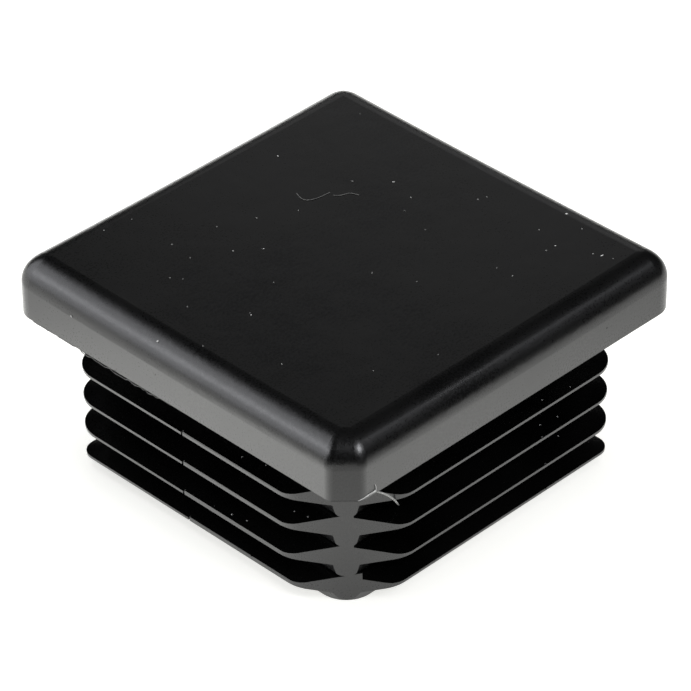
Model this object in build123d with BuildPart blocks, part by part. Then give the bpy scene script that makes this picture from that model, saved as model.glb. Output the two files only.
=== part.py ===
import os
from build123d import *

os.makedirs("parts", exist_ok=True)

# Square tube the cap closes: outside width and the wall it suits.
tube_side = 40.0
tube_wall = 3.2
tube_bore = tube_side - 2 * tube_wall

# Head: covers the cut end of the tube, flush with its outside.
# The seating face on the tube end is at Z = 0. The top is very slightly dished.
head_side = tube_side
head_corner_height = 5.56
head_corner_r = 2.15
head_edge_r = 2.5
dish_r = 1260.0
dish_depth = (head_side ** 2 / 2) / (2 * dish_r)
head_centre_height = head_corner_height - dish_depth

# The head's corner at -X -Y is cut flatter than the other three.
head_flat_leg = 2.0
head_flat_blend_r = 1.0

# Fins: thin-rimmed wedges that bend as they grip the bore.
fin_count = 4
fin_grip = 0.12
fin_half = tube_bore / 2 + fin_grip
fin_rim = 0.25
fin_pitch = 3.133
fin_first_z = -5.8
fin_top_slope = 0.28
fin_under_slope = 0.27
fin_corner_r = 3.15
fin_root_in = 3.94
fin_root_r = 0.2

# The last fin is drawn in along its sides and keeps the same corners.
last_fin_half = fin_half - 0.49
last_fin_corner_r = 1.48

# The corners at -X -Y and +X +Y are cut flat, square to their diagonal.
flat_set_back = 4.93
flat_distance = fin_half * 2 ** 0.5 - flat_set_back
flat_blend_r = 2.36

# Stem: each length above a fin narrows downwards, and its lower edge is rounded.
stem_half_under_fin = 14.38
stem_half_over_fin = 13.99
stem_foot_r = 0.54
stem_core_half = stem_half_over_fin - stem_foot_r + 0.05

# The length below the last fin has large corners.
stem_bottom_z = -16.72
stem_end_top_half = 14.59
stem_end_half = 14.24
stem_end_corner_r = 2.76

# Hollow, open at the bottom of the stem.
stem_wall = 1.6
hollow_half = stem_core_half - stem_wall
hollow_corner_r = 1.5
head_roof = 3.0
hollow_top_z = head_centre_height - head_roof

# Moulding marks on the -X side: a fine nick through every rim, and from it towards -Y
# the upper side of each fin stands a little higher.
nick_along = 2.56
nick_width = 0.2
nick_depth = 0.15
land_rise = 0.13
land_set_back = 0.03

fin_z = [fin_first_z - fin_pitch * i for i in range(fin_count)]
fin_halves = [fin_half] * (fin_count - 1) + [last_fin_half]
fin_corner_rs = [fin_corner_r] * (fin_count - 1) + [last_fin_corner_r]
diagonal = Axis((0, 0, 0), (1, -1, 0))
flat_diagonal = Axis((0, 0, 0), (1, 1, 0))
top_rise = fin_root_in * fin_top_slope
under_drop = fin_root_in * fin_under_slope

fins = []
for z, half, corner_r in zip(fin_z, fin_halves, fin_corner_rs):
    rim_top = Plane.XY.offset(z + fin_rim / 2)
    rim_under = Plane.XY.offset(z - fin_rim / 2)
    with BuildSketch(Plane.XY) as rim:
        Rectangle(2 * half, 2 * half)
        fillet([rim.vertices().sort_by(diagonal)[i] for i in (0, -1)], corner_r)
    with BuildSketch(Plane.XY) as root:
        Rectangle(2 * (half - fin_root_in), 2 * (half - fin_root_in))
        fillet([root.vertices().sort_by(diagonal)[i] for i in (0, -1)], fin_root_r)
    # Plan outline with the two flat corners, blended into the sides.
    leg = (half * 2 ** 0.5 - flat_distance) * 2 ** 0.5
    with BuildSketch(Plane.XY) as outline:
        Polygon(
            (-half + leg, -half),
            (half, -half),
            (half, half - leg),
            (half - leg, half),
            (-half, half),
            (-half, -half + leg),
            align=None,
        )
        fillet(outline.vertices().sort_by(diagonal)[1:-1], flat_blend_r)
        fillet([outline.vertices().sort_by(diagonal)[i] for i in (0, -1)], corner_r)
    with BuildPart() as fin:
        # Wedge above the rim, the upright rim, and the wedge below it.
        loft(
            [rim_top * rim.sketch.face(), rim_top.offset(top_rise) * root.sketch.face()],
            ruled=True,
        )
        extrude(rim_under * rim.sketch.face(), amount=fin_rim)
        loft(
            [rim_under.offset(-under_drop) * root.sketch.face(), rim_under * rim.sketch.face()],
            ruled=True,
        )
        # Higher part beside the nick, from the rim in to the root.
        with BuildSketch(Plane.XZ.offset(-nick_along)):
            with Locations((-half, z + fin_rim / 2)):
                Polygon(
                    (0, -fin_rim / 2),
                    (fin_root_in, -fin_rim / 2),
                    (fin_root_in, top_rise + land_rise),
                    (land_set_back, land_rise),
                    (0, 0),
                    align=None,
                )
        extrude(amount=nick_along + half)
        extrude(
            rim_under.offset(-under_drop) * outline.sketch.face(),
            amount=under_drop + fin_rim + top_rise + land_rise,
            mode=Mode.INTERSECT,
        )
    fins.append(fin)

lengths = []
for top_z, foot_z in zip([0.0] + fin_z, fin_z):
    # Stops where the top of the fin below reaches the core.
    end_z = foot_z + fin_rim / 2 + (fin_half - stem_core_half) * fin_top_slope
    with BuildPart() as length:
        with BuildSketch(Plane.XY.offset(end_z)):
            Rectangle(2 * stem_half_over_fin, 2 * stem_half_over_fin)
        with BuildSketch(Plane.XY.offset(top_z)):
            Rectangle(2 * stem_half_under_fin, 2 * stem_half_under_fin)
        loft(ruled=True)
        fillet(length.faces().sort_by(Axis.Z)[0].edges(), stem_foot_r)
    lengths.append(length)

with BuildPart() as stem:
    with BuildSketch(Plane.XY.offset(fin_z[-1])):
        Rectangle(2 * stem_core_half, 2 * stem_core_half)
    extrude(amount=-fin_z[-1])
    for length in lengths:
        add(length.part)
    # Length below the last fin.
    with BuildSketch(Plane.XY.offset(stem_bottom_z)):
        RectangleRounded(2 * stem_end_half, 2 * stem_end_half, stem_end_corner_r)
    with BuildSketch(Plane.XY.offset(fin_z[-1])):
        RectangleRounded(2 * stem_end_top_half, 2 * stem_end_top_half, stem_end_corner_r)
    loft(ruled=True)
    # The flats cut two corners of the stem as well.
    with BuildSketch(Plane.XY.offset(stem_bottom_z)):
        Rectangle(2 * flat_distance, 2 * tube_side, rotation=45)
    extrude(amount=-stem_bottom_z, mode=Mode.INTERSECT)

with BuildPart() as tube_end_cap:
    # Head: square with a dished top and a rounded upper edge.
    with BuildSketch(Plane.XY) as head_outline:
        Rectangle(head_side, head_side)
        chamfer(head_outline.vertices().sort_by(flat_diagonal)[0], head_flat_leg)
        fillet(head_outline.vertices().sort_by(flat_diagonal)[:2], head_flat_blend_r)
        fillet(head_outline.vertices().sort_by(flat_diagonal)[-3:], head_corner_r)
    extrude(amount=head_corner_height + dish_depth)
    with Locations((0, 0, head_centre_height + dish_r)):
        Sphere(dish_r, mode=Mode.SUBTRACT)
    fillet(tube_end_cap.faces().filter_by(GeomType.SPHERE)[0].edges(), head_edge_r)
    add(stem.part)
    for fin in fins:
        add(fin.part)
    # Hollow.
    with BuildSketch(Plane.XY.offset(stem_bottom_z)):
        RectangleRounded(2 * hollow_half, 2 * hollow_half, hollow_corner_r)
    extrude(amount=hollow_top_z - stem_bottom_z, mode=Mode.SUBTRACT)
    # Nicks across the rims.
    for z, half in zip(fin_z, fin_halves):
        with Locations((-half, nick_along, z)):
            Box(2 * nick_depth, nick_width, fin_pitch / 3, mode=Mode.SUBTRACT)

tube_end_cap.part.label = "tube_end_cap"
export_step(tube_end_cap.part, "parts/tube_end_cap.step")
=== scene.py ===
import math
import random
import bmesh
import bpy
from mathutils import Matrix, Vector
from mathutils.bvhtree import BVHTree


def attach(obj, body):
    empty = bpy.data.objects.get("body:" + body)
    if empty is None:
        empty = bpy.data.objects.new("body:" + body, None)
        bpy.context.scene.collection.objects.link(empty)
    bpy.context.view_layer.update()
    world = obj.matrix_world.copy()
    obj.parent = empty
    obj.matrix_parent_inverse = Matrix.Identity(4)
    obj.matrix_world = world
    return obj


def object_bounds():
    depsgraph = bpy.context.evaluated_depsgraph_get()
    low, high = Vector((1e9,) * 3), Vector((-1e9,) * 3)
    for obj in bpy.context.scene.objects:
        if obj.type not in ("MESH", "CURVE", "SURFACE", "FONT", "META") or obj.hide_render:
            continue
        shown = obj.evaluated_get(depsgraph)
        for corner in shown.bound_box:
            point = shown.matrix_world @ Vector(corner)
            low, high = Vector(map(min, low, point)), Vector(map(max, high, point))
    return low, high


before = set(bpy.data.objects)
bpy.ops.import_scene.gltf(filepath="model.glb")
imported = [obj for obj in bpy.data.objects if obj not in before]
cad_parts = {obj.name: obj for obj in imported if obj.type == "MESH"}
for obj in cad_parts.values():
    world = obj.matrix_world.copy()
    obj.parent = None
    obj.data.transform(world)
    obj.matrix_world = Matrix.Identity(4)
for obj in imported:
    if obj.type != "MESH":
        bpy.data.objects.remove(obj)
cad_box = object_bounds()
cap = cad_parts["tube_end_cap"]
scene = bpy.context.scene
MM = 0.001
# One pixel of the photograph at the cap, in metres.
PX = 1 / 11730

# Camera: the photograph's view, in pixels of its 691 x 691 frame.
EL = math.radians(35.48668)
AZ = math.radians(45.06430)
ROLL = math.radians(-0.43868)
FOCAL_PX = 4279.5876
DIST = 0.36482058
AIM_Z = -0.000266
TX, TY = -0.86574, -36.6
WIDTH_PX = 691

fwd = Vector((math.cos(AZ) * math.cos(EL), math.sin(AZ) * math.cos(EL), -math.sin(EL)))
right = Vector((math.sin(AZ), -math.cos(AZ), 0))
up = right.cross(fwd)
cam_x = right * math.cos(ROLL) + up * math.sin(ROLL)
cam_y = up * math.cos(ROLL) - right * math.sin(ROLL)
cam_data = bpy.data.cameras.new("camera")
cam = bpy.data.objects.new("camera", cam_data)
scene.collection.objects.link(cam)
pose = Matrix((cam_x, cam_y, -fwd)).transposed().to_4x4()
eye = -fwd * DIST + Vector((0, 0, AIM_Z))
pose.translation = eye
cam.matrix_world = pose
cam_data.sensor_width = 36
cam_data.sensor_fit = "HORIZONTAL"
cam_data.lens = FOCAL_PX * 36 / WIDTH_PX
cam_data.shift_x = -TX / WIDTH_PX
cam_data.shift_y = TY / WIDTH_PX
cam_data.clip_start = 0.01
cam_data.clip_end = 20
scene.camera = cam


# Materials
def new_material(name):
    mat = bpy.data.materials.new(name)
    mat.use_nodes = True
    mat.node_tree.nodes.clear()
    return mat, mat.node_tree


def node(tree, kind, inputs=None, **values):
    """A shader node. inputs maps a socket to a value, or to the output socket that feeds it."""
    n = tree.nodes.new(kind)
    for key, value in values.items():
        setattr(n, key, value)
    for key, value in (inputs or {}).items():
        if isinstance(value, bpy.types.NodeSocket):
            tree.links.new(value, n.inputs[key])
        else:
            n.inputs[key].default_value = value
    return n


def ramp(tree, fac, stops):
    """A grey colour ramp from (position, level) stops."""
    n = node(tree, "ShaderNodeValToRGB", {"Fac": fac})
    for i, (position, level) in enumerate(stops):
        e = n.color_ramp.elements[i] if i < 2 else n.color_ramp.elements.new(position)
        e.position = position
        e.color = (level, level, level, 1)
    return n.outputs["Color"]


def remap(tree, value, from_min, from_max, to_min, to_max, smooth=False):
    n = node(tree, "ShaderNodeMapRange",
             {"Value": value, "From Min": from_min, "From Max": from_max, "To Min": to_min, "To Max": to_max})
    if smooth:
        n.interpolation_type = "SMOOTHSTEP"
    return n.outputs["Result"]


def math_node(tree, operation, a, b):
    return node(tree, "ShaderNodeMath", {0: a, 1: b}, operation=operation).outputs[0]


def noise(tree, vector, scale, detail):
    return node(tree, "ShaderNodeTexNoise", {"Vector": vector, "Scale": scale, "Detail": detail}).outputs["Fac"]


# Depths of the bumps, in metres: slow sink marks, fine ripple, and the grain of the matt parts.
SAG_DEPTH = 2.2e-5
RIPPLE_DEPTH = 2.5e-6
GRAIN_DEPTH = 7e-6

mat, nt = new_material("black_moulded_plastic")
surface_coord = node(nt, "ShaderNodeTexCoord").outputs
coord = surface_coord["Object"]
cloud = noise(nt, coord, 90, 5)
grain = noise(nt, coord, 5200, 3)
ripple = noise(nt, coord, 1500, 2)
sag = noise(nt, coord, 350, 4)
height = node(nt, "ShaderNodeSeparateXYZ", {"Vector": coord}).outputs["Z"]
# The stem and fins are matt, the head is smoother.
matt = remap(nt, height, -0.2 * MM, -1.0 * MM, 0.15, 1.0, smooth=True)
base = node(nt, "ShaderNodeMix", {"Factor": remap(nt, cloud, 0.3, 0.7, 0, 1)}, data_type="RGBA")
base.inputs["A"].default_value = (0.0006, 0.0006, 0.0006, 1)
base.inputs["B"].default_value = (0.0032, 0.0032, 0.0031, 1)
rough = math_node(nt, "ADD", remap(nt, grain, 0.25, 0.75, 0.22, 0.36), remap(nt, cloud, 0.3, 0.7, -0.03, 0.05))
# The sloping faces of the fins and the underside of the head reflect less and have no coat: painted shade that
# darkens the grooves between the fins.
facing = node(nt, "ShaderNodeSeparateXYZ", {"Vector": surface_coord["Normal"]}).outputs["Z"]
tilt = math_node(nt, "ABSOLUTE", facing, 0)
groove_shade = math_node(nt, "MULTIPLY", remap(nt, tilt, 0.5, 0.9, 0, 1, smooth=True),
                 remap(nt, height, 0.1 * MM, -0.1 * MM, 0, 1))
swell = node(nt, "ShaderNodeBump", {"Height": sag, "Strength": 1.0, "Distance": SAG_DEPTH})
wave = node(nt, "ShaderNodeBump",
            {"Height": ripple, "Strength": 1.0, "Distance": RIPPLE_DEPTH, "Normal": swell.outputs["Normal"]})
fine = node(nt, "ShaderNodeBump",
            {"Height": math_node(nt, "MULTIPLY", grain, matt), "Strength": 1.0, "Distance": GRAIN_DEPTH,
             "Normal": wave.outputs["Normal"]})
plastic = node(nt, "ShaderNodeBsdfPrincipled",
               {"Base Color": base.outputs["Result"], "Roughness": rough, "Normal": fine.outputs["Normal"],
                "IOR": 1.5, "Specular IOR Level": remap(nt, groove_shade, 0, 1, 1.0, 0.15),
                "Coat Weight": remap(nt, groove_shade, 0, 1, 0.6, 0.0), "Coat Roughness": 0.3})
node(nt, "ShaderNodeOutputMaterial", {"Surface": plastic.outputs[0]})
cap.data.materials.clear()
cap.data.materials.append(mat)


def pale_material(name, dark, light, rough_value):
    """Dust, fibre and a painted-shade strand: a matt grey that varies along it."""
    m, t = new_material(name)
    where = node(t, "ShaderNodeTexCoord").outputs["Object"]
    spot = noise(t, where, 3000, 3)
    mix = node(t, "ShaderNodeMix", {"Factor": remap(t, spot, 0.3, 0.7, 0, 1)}, data_type="RGBA")
    mix.inputs["A"].default_value = (*dark, 1)
    mix.inputs["B"].default_value = (*light, 1)
    rough_out = remap(t, spot, 0.3, 0.7, rough_value - 0.1, rough_value + 0.1)
    lump = node(t, "ShaderNodeBump", {"Height": spot, "Strength": 0.5, "Distance": 1e-5})
    b = node(t, "ShaderNodeBsdfPrincipled",
             {"Base Color": mix.outputs["Result"], "Roughness": rough_out, "Normal": lump.outputs["Normal"]})
    node(t, "ShaderNodeOutputMaterial", {"Surface": b.outputs[0]})
    return m


dust_mat = pale_material("grey_dust", (0.16, 0.16, 0.155), (0.34, 0.34, 0.33), 0.8)
bright_dust_mat = pale_material("pale_dust", (0.55, 0.55, 0.53), (0.9, 0.9, 0.88), 0.8)
fibre_mat = pale_material("pale_fibre", (0.70, 0.70, 0.67), (0.95, 0.95, 0.93), 0.6)
hair_mat = pale_material("grey_fibre", (0.10, 0.10, 0.10), (0.22, 0.22, 0.21), 0.6)
# A dark matt strand for the painted shade under the head's lower edge.
edge_shade_mat = pale_material("painted_edge_shade", (0.004, 0.004, 0.004), (0.012, 0.012, 0.011), 0.85)

# Small things on the surface
surface = BVHTree.FromObject(cap, bpy.context.evaluated_depsgraph_get())


def sight(px, py):
    """Direction in which the camera sees a point of the frame."""
    x = (px - WIDTH_PX / 2 - TX) / FOCAL_PX
    y = (py - WIDTH_PX / 2 - TY) / FOCAL_PX
    return fwd + cam_x * x - cam_y * y


def on_cap(px, py):
    """The point of the cap seen at a point of the frame, and the surface's normal there."""
    at, normal, _, _ = surface.ray_cast(eye, sight(px, py))
    return at, normal


def add_piece(name, data, material):
    """An object of the cap's own body, made from a mesh or curve."""
    obj = bpy.data.objects.new(name, data)
    scene.collection.objects.link(obj)
    data.materials.append(material)
    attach(obj, "root")
    return obj


def crumb(bm, at, normal, length, width, rng):
    """A small irregular grain, half as thick as wide, sunk a little into what it lies on."""
    thick = width / 2
    turn = normal.to_track_quat("Z", "Y").to_matrix() @ Matrix.Rotation(rng.uniform(0, math.pi), 3, "Z")
    corners = []
    for _ in range(12):
        p = Vector([rng.gauss(0, 1) for _ in range(3)]).normalized()
        p = Vector((p.x * length / 2, p.y * width / 2, p.z * thick / 2))
        corners.append(bm.verts.new(turn @ p + at + normal * thick * 0.25))
    hull = bmesh.ops.convex_hull(bm, input=corners)
    inside = [g for g in hull["geom_interior"] if isinstance(g, bmesh.types.BMVert)]
    bmesh.ops.delete(bm, geom=inside, context="VERTS")


def crumbs(name, places, material, seed):
    """Grains at points of the frame, each with its length and width in pixels."""
    rng = random.Random(seed)
    bm = bmesh.new()
    for px, py, length, width in places:
        at, normal = on_cap(px, py)
        crumb(bm, at, normal, length * PX, width * PX, rng)
    mesh = bpy.data.meshes.new(name)
    bm.to_mesh(mesh)
    bm.free()
    return add_piece(name, mesh, material)


def fibre(name, points, radii, material):
    """A thin strand through the points, in metres."""
    data = bpy.data.curves.new(name, "CURVE")
    data.dimensions = "3D"
    data.bevel_depth = 1.0
    data.bevel_resolution = 3
    data.resolution_u = 6
    data.use_fill_caps = True
    spline = data.splines.new("NURBS")
    spline.points.add(len(points) - 1)
    for p, at, r in zip(spline.points, points, radii):
        p.co = (*at, 1)
        p.radius = r
    spline.order_u = 3
    spline.use_endpoint_u = True
    return add_piece(name, data, material)


# Grains seen on the top and in the grooves: place in the frame, length and width, all in pixels.
TOP_BRIGHT = [
    (263.3, 248.9, 2.2, 1.6), (251.0, 315.0, 2.0, 1.6), (393.3, 181.9, 4.4, 1.6), (567.0, 214.0, 4.6, 1.6),
    (282.0, 364.0, 1.8, 1.5), (602.1, 255.6, 3.6, 1.6), (278.0, 156.0, 1.9, 1.6), (555.8, 245.9, 3.0, 1.4),
]
TOP_GREY = [
    (546.2, 250.5, 2.0, 1.8), (183.2, 279.2, 2.0, 1.6), (438.0, 354.5, 3.0, 1.2), (416.8, 281.8, 2.0, 1.6),
    (187.5, 307.0, 3.0, 1.4), (298.5, 210.5, 2.0, 1.8), (496.5, 268.0, 2.0, 1.8), (411.0, 197.5, 3.0, 1.6),
    (256.5, 218.0, 2.2, 1.8), (404.5, 211.0, 2.2, 1.8), (132.0, 219.5, 2.0, 1.6), (170.0, 278.0, 2.0, 1.6),
    (250.0, 313.0, 2.0, 1.4), (203.0, 346.0, 2.4, 1.8), (373.0, 371.0, 2.2, 1.8), (512.5, 276.0, 2.2, 1.6),
    (372.0, 273.0, 2.2, 1.6), (425.0, 230.0, 2.2, 1.6), (539.0, 230.0, 2.4, 1.6), (582.0, 229.0, 2.0, 1.8),
    (613.0, 259.0, 2.4, 1.8), (593.0, 254.0, 2.2, 1.6), (478.0, 199.5, 2.6, 1.8), (487.0, 197.0, 1.8, 1.6),
    (360.0, 113.5, 2.4, 1.6), (352.0, 181.0, 3.4, 1.6), (104.0, 230.5, 2.0, 1.6), (217.0, 227.0, 1.8, 1.8),
    (233.0, 251.0, 2.6, 1.8), (274.0, 282.5, 2.0, 1.6), (190.0, 258.0, 2.0, 2.0), (172.0, 244.5, 2.2, 1.8),
]
crumbs("dust_on_top_bright", TOP_BRIGHT, bright_dust_mat, 11)
crumbs("dust_on_top", TOP_GREY, dust_mat, 12)

GROOVE = [
    (232.0, 514.6, 2.2, 2.0), (247.0, 521.0, 2.4, 2.2), (294.5, 511.5, 1.8, 1.4), (308.0, 517.0, 2.0, 1.6),
    (266.0, 465.5, 1.8, 1.6), (251.0, 450.0, 1.6, 1.4), (242.0, 457.0, 2.6, 1.2), (570.0, 387.0, 1.8, 1.4),
    (542.0, 400.0, 1.8, 1.4), (557.5, 417.0, 2.0, 1.6), (540.0, 425.0, 1.8, 1.4), (558.0, 436.0, 1.8, 1.4),
]
crumbs("dust_in_grooves", GROOVE, bright_dust_mat, 13)

# Small burrs on the rims and nibs on the head's sides, of the same plastic.
BURRS = [
    (542, 436.5, 4.0, 3.0), (545, 463.5, 3.4, 2.6), (546, 488.5, 3.2, 2.4), (533, 470.5, 3.4, 2.4),
    (588, 442.5, 3.0, 2.4), (214, 506.0, 3.0, 2.4), (186, 516.0, 3.4, 2.6), (252, 556.0, 3.4, 2.6),
    (155.0, 374.6, 1.8, 1.4), (607.0, 328.0, 2.0, 1.6), (115.0, 371.0, 3.0, 1.6),
]
crumbs("burrs", BURRS, mat, 14)
crumbs("specks_on_side", [(71.3, 316.0, 4.0, 2.4), (157.8, 341.3, 3.0, 2.4)], bright_dust_mat, 15)


def strand_on_cap(points, lift):
    """Points of a strand that lies on the cap, its middle raised by lift."""
    out = []
    for px, py in points:
        at, normal = on_cap(px, py)
        out.append(at + normal * lift)
    return out


# Under the head's lower edge, all in mm: a fine broken dark line on the -X side, which is painted shade.
half_side = -cad_box[0][0] / MM
edge_rng = random.Random(16)


def under_edge(inset, y, drop):
    """A point under the edge on the -X side, in metres."""
    return Vector((-half_side + inset, y, -drop)) * MM


line = []
radii = []
y = 17.4
while y > 0.4:
    line.append(under_edge(0.11, y, 0.06))
    radii.append(edge_rng.choice((0.05, 0.08, 0.09, 0.10, 0.105)) * MM)
    y -= edge_rng.uniform(0.15, 0.40)
fibre("shade_under_edge", line, radii, edge_shade_mat)

# Below it, from mid-side towards the corner, a loose thread of flash that touches the edge at its ends.
line = [under_edge(0.12, 11.7, 0.01)]
radii = [0.03 * MM]
y = 11.4
while y > 1.6:
    near = edge_rng.random() < 0.15
    drop = 0.12 if near else edge_rng.uniform(0.25, 0.33)
    line.append(under_edge(0.08, y, drop))
    radii.append(edge_rng.uniform(0.028, 0.045) * MM)
    y -= edge_rng.uniform(0.25, 0.50)
line.append(under_edge(0.12, 1.3, 0.01))
radii.append(0.03 * MM)
fibre("flash_thread", line, radii, dust_mat)

# The same painted shade line under the front corner, along its flat.
FLAT_LEG = 2.0
INSET = 0.09
line = []
for i in range(13):
    t = 0.08 + 0.84 * i / 12
    x = -half_side + INSET + FLAT_LEG * t
    y = -half_side + INSET + FLAT_LEG * (1 - t)
    line.append(Vector((x, y, -0.05)) * MM)
fibre("shade_under_corner", line, [edge_rng.uniform(0.07, 0.09) * MM for _ in line], edge_shade_mat)

# A fine hair on the top, in two arcs.
HAIR_A = [
    (296.4, 193.4), (299.5, 197.4), (304, 200.3), (309, 200.4),
    (315, 199.2), (321, 197), (326, 194.4), (330, 192.8),
]
HAIR_B = [(333.5, 195.6), (338, 195.9), (343, 195.2), (348, 193.4), (353, 193.6), (359, 195.4)]
for label, points in (("a", HAIR_A), ("b", HAIR_B)):
    line = strand_on_cap(points, 0.03 * MM)
    fibre("hair_on_top_" + label, line, [0.028 * MM] * len(line), hair_mat)

# A white fibre caught at the lower edge of the head, ending on the fin below.
FIBRE_LIFT = 0.10 * MM
start, _ = on_cap(374.5, 490.5)
end, _ = on_cap(398.5, 504.5)
near_depth = (start - eye).dot(fwd) - FIBRE_LIFT
far_depth = (end - eye).dot(fwd) - FIBRE_LIFT
WHISKER = [
    (375, 491), (379, 492.2), (384, 493.6), (388, 495.4),
    (391.5, 497.6), (394.5, 500), (396.8, 502.6), (398.5, 505),
]
line = []
for i, (px, py) in enumerate(WHISKER):
    depth = near_depth + (far_depth - near_depth) * i / (len(WHISKER) - 1)
    line.append(eye + sight(px, py) * depth)
fibre("white_fibre", line, [r * MM for r in (0.06, 0.075, 0.08, 0.085, 0.09, 0.09, 0.08, 0.06)], fibre_mat)
line = strand_on_cap([(375.5, 490.5), (371, 493), (367, 495.6), (363, 498.4), (358.5, 500.5)], 0.05 * MM)
fibre("white_fibre_tail", line, [r * MM for r in (0.065, 0.06, 0.055, 0.045, 0.03)], fibre_mat)
line = strand_on_cap([(375.5, 490.5), (375.8, 487.5), (374.8, 484.5)], 0.04 * MM)
fibre("white_fibre_stub", line, [r * MM for r in (0.06, 0.05, 0.035)], fibre_mat)

# Floor: a pale sheet, which the glossy plastic sees bright near the cap and darker further out: its glow for
# glossy and transmission rays, and its colour that falls off with it, are painted reflection.
LEFT = -right
BACK = Vector((math.cos(AZ), math.sin(AZ), 0))
floor_z = cad_box[0][2]
bpy.ops.mesh.primitive_plane_add(size=6, location=(0, 0, floor_z))
floor = bpy.context.object
floor.name = "floor"
fmat, ft = new_material("floor_white")
spot = node(ft, "ShaderNodeNewGeometry").outputs["Position"]
along = node(ft, "ShaderNodeVectorMath", {0: spot, 1: LEFT}, operation="DOT_PRODUCT").outputs["Value"]
behind = node(ft, "ShaderNodeVectorMath", {0: spot, 1: BACK}, operation="DOT_PRODUCT").outputs["Value"]
# Stops: distance from the cap's centre in mm, to the camera's left and behind, and brightness there.
REACH = 400.0
side_stops = [
    (-230, 0.0), (-190, 0.10), (-140, 0.32), (-90, 0.42), (-56, 0.43), (-49, 0.52), (-43, 0.64), (-27, 0.71),
    (0, 0.62), (20, 0.94), (30, 1.0), (44, 0.98), (49, 0.70), (56, 0.52), (90, 0.50), (150, 0.46), (380, 0.40),
]
side = ramp(ft, remap(ft, along, -REACH * MM, REACH * MM, 0, 1),
            [(0.5 + u / REACH / 2, level) for u, level in side_stops])
front_stops = [(-240, 0.0), (-180, 0.25), (-120, 0.50), (-60, 0.55), (-42, 0.79), (-27, 1.0)]
front = ramp(ft, remap(ft, behind, -REACH * MM, REACH * MM, 0, 1),
             [(0.5 + v / REACH / 2, level) for v, level in front_stops])
glow = math_node(ft, "MULTIPLY", side, front)
sheet = node(ft, "ShaderNodeMix", {"Factor": glow}, data_type="RGBA")
sheet.inputs["A"].default_value = (0.02, 0.02, 0.02, 1)
sheet.inputs["B"].default_value = (0.9, 0.9, 0.87, 1)
path = node(ft, "ShaderNodeLightPath").outputs
mirrored = math_node(ft, "MAXIMUM", path["Is Glossy Ray"], path["Is Transmission Ray"])
# Strength of the floor's glow in glossy and transmission rays: painted reflection.
FLOOR_GLOSSY = 0.75
mirrored = math_node(ft, "MULTIPLY", math_node(ft, "MULTIPLY", mirrored, glow), FLOOR_GLOSSY)
# The camera sees white, less the cap's soft shadow.
seen = math_node(ft, "MULTIPLY", path["Is Camera Ray"], remap(ft, glow, 0, 1, 1.0, 0.62))
shine = node(ft, "ShaderNodeEmission",
             {"Color": (1, 1, 0.97, 1), "Strength": math_node(ft, "ADD", mirrored, seen)})
matte = node(ft, "ShaderNodeBsdfDiffuse", {"Color": sheet.outputs["Result"]})
both = node(ft, "ShaderNodeAddShader", {0: matte.outputs[0], 1: shine.outputs[0]})
node(ft, "ShaderNodeOutputMaterial", {"Surface": both.outputs[0]})
floor.data.materials.append(fmat)


# Lights
COOL = (0.95, 0.96, 1.0)


def softbox(name, where, size, power, tint=(1, 1, 1)):
    """A flat rectangular lamp that faces the cap: size in metres, power in watts."""
    data = bpy.data.lights.new(name, "AREA")
    data.shape = "RECTANGLE"
    data.size, data.size_y = size
    data.energy = power
    data.color = tint
    lamp = bpy.data.objects.new(name, data)
    lamp.location = where
    lamp.rotation_euler = (Vector((0, 0, -0.005)) - Vector(where)).to_track_quat("-Z", "Y").to_euler()
    scene.collection.objects.link(lamp)
    return lamp


def place(azimuth, elevation, distance):
    """A point by its bearing from the camera's side: 0 towards the camera, 90 to its right."""
    a = AZ + math.pi + math.radians(azimuth)
    e = math.radians(elevation)
    return (distance * math.cos(a) * math.cos(e), distance * math.sin(a) * math.cos(e),
            distance * math.sin(e))


softbox("light_left", place(-96, 27, 1.0), (1.25, 1.00), 4.6, COOL)
softbox("light_left_core", place(-78, 27, 0.5), (0.42, 0.12), 0.19, COOL)
softbox("light_right", place(96, 42, 1.0), (0.12, 0.12), 0.055, COOL)
softbox("light_right_high", place(48, 46, 1.0), (0.55, 0.38), 3.5, COOL)
softbox("light_back", place(175, 24.5, 0.25), (0.125, 0.078), 0.0084)
# Lights the floor evenly; hidden from glossy rays, so the plastic does not mirror it.
overhead = softbox("light_top", place(0, 88, 1.0), (0.8, 0.8), 7.0)
overhead.visible_glossy = False

world = bpy.data.worlds.new("studio")
scene.world = world
world.use_nodes = True
world.node_tree.nodes["Background"].inputs["Color"].default_value = (0.95, 0.97, 1, 1)
world.node_tree.nodes["Background"].inputs["Strength"].default_value = 0.012

scene.view_settings.view_transform = "Standard"
